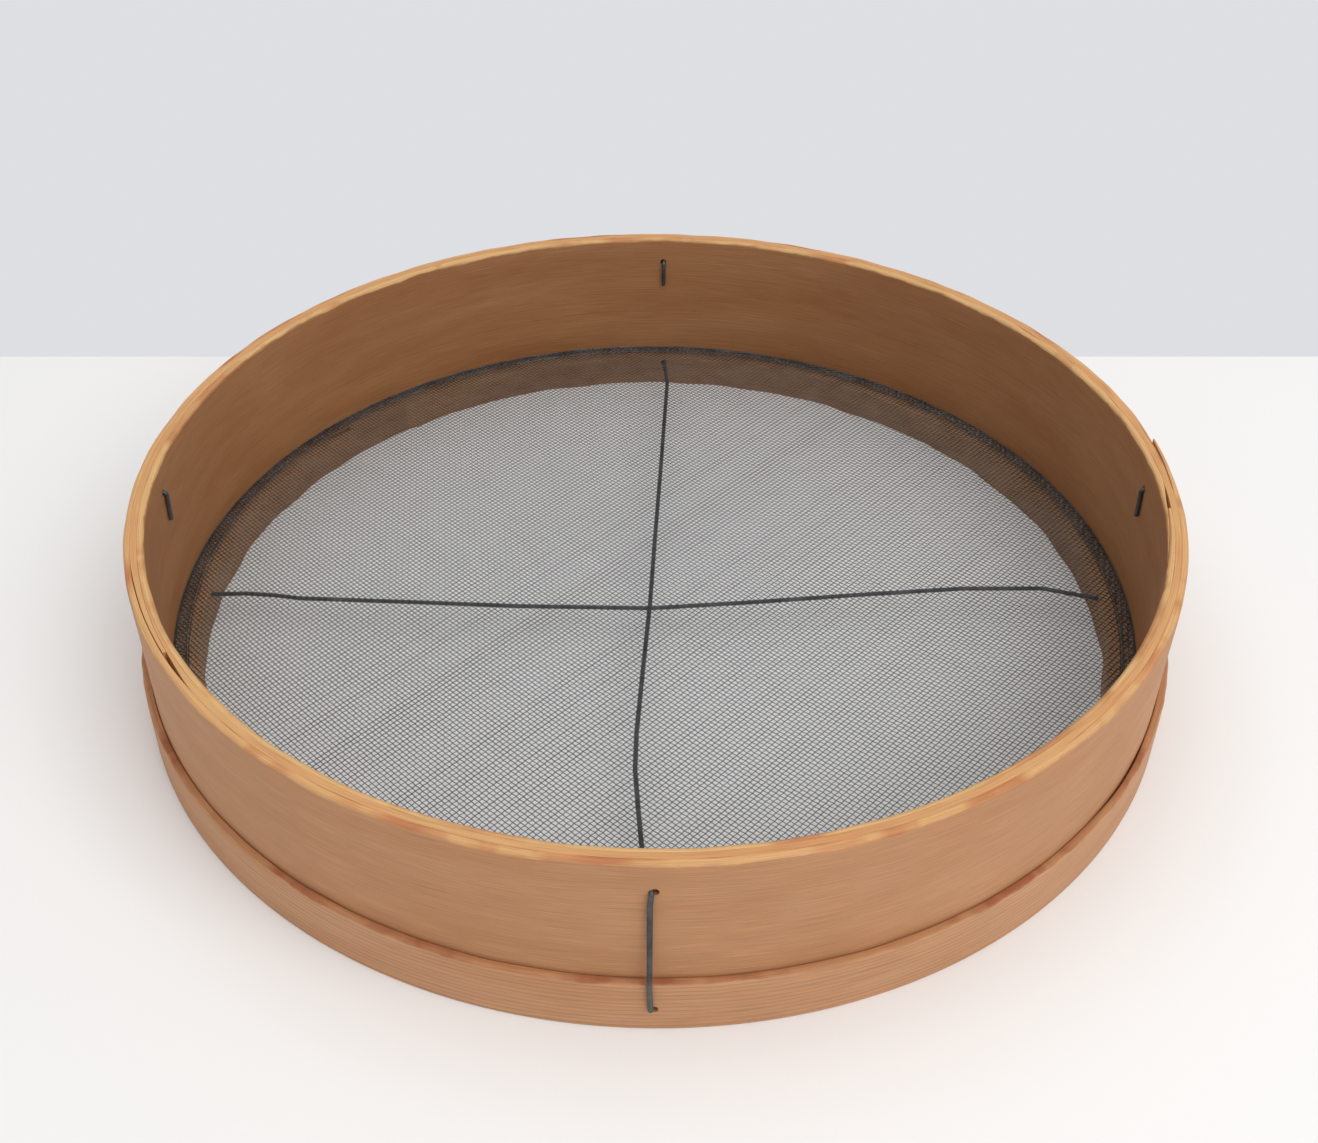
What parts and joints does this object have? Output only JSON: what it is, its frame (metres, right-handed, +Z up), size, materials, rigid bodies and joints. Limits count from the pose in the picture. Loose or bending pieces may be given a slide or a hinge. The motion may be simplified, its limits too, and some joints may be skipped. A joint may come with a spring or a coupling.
{
  "type": "flour sieve",
  "caption": "Round wooden flour sieve: tall bent hoop with a wire cloth gripped in its foot, a low band outside, and a cross of laced support wires under the cloth.",
  "frame": {"origin": "on the ground at the middle of the sieve", "axes": "+Z up along the hoop's axis, towards the open rim; -Y is the front, which the picture faces"},
  "size_m": [0.369, 0.3689, 0.0665],
  "materials": {
    "hoop_outer_wood": "bare, dry, worn smooth, fine grain along the strip",
    "hoop_middle_wood": "bare, seen only at the rim, paler and worn",
    "hoop_inner_wood": "bare, darkened, fine grain along the strip",
    "band_wood": "bare, dry, with even dark growth lines along the strip",
    "ring_wood": "bare, dusty brown",
    "cloth_steel": "dull dark grey drawn wire",
    "support_steel": "oxidised dark grey drawn wire"
  },
  "bodies": {
    "root": {"hoop_inner_layer": "hoop_inner_wood", "hoop_middle_layer": "hoop_middle_wood", "hoop_outer_layer": "hoop_outer_wood", "lower_band": "band_wood", "ring_inner_layer": "ring_wood", "ring_outer_layer": "ring_wood", "cloth_warp_wires": "cloth_steel", "cloth_weft_wires": "cloth_steel", "cloth_folded_edge": "cloth_steel", "support_wire_front_back": "support_steel", "support_wire_left_right": "support_steel"}
  },
  "joints": []
}
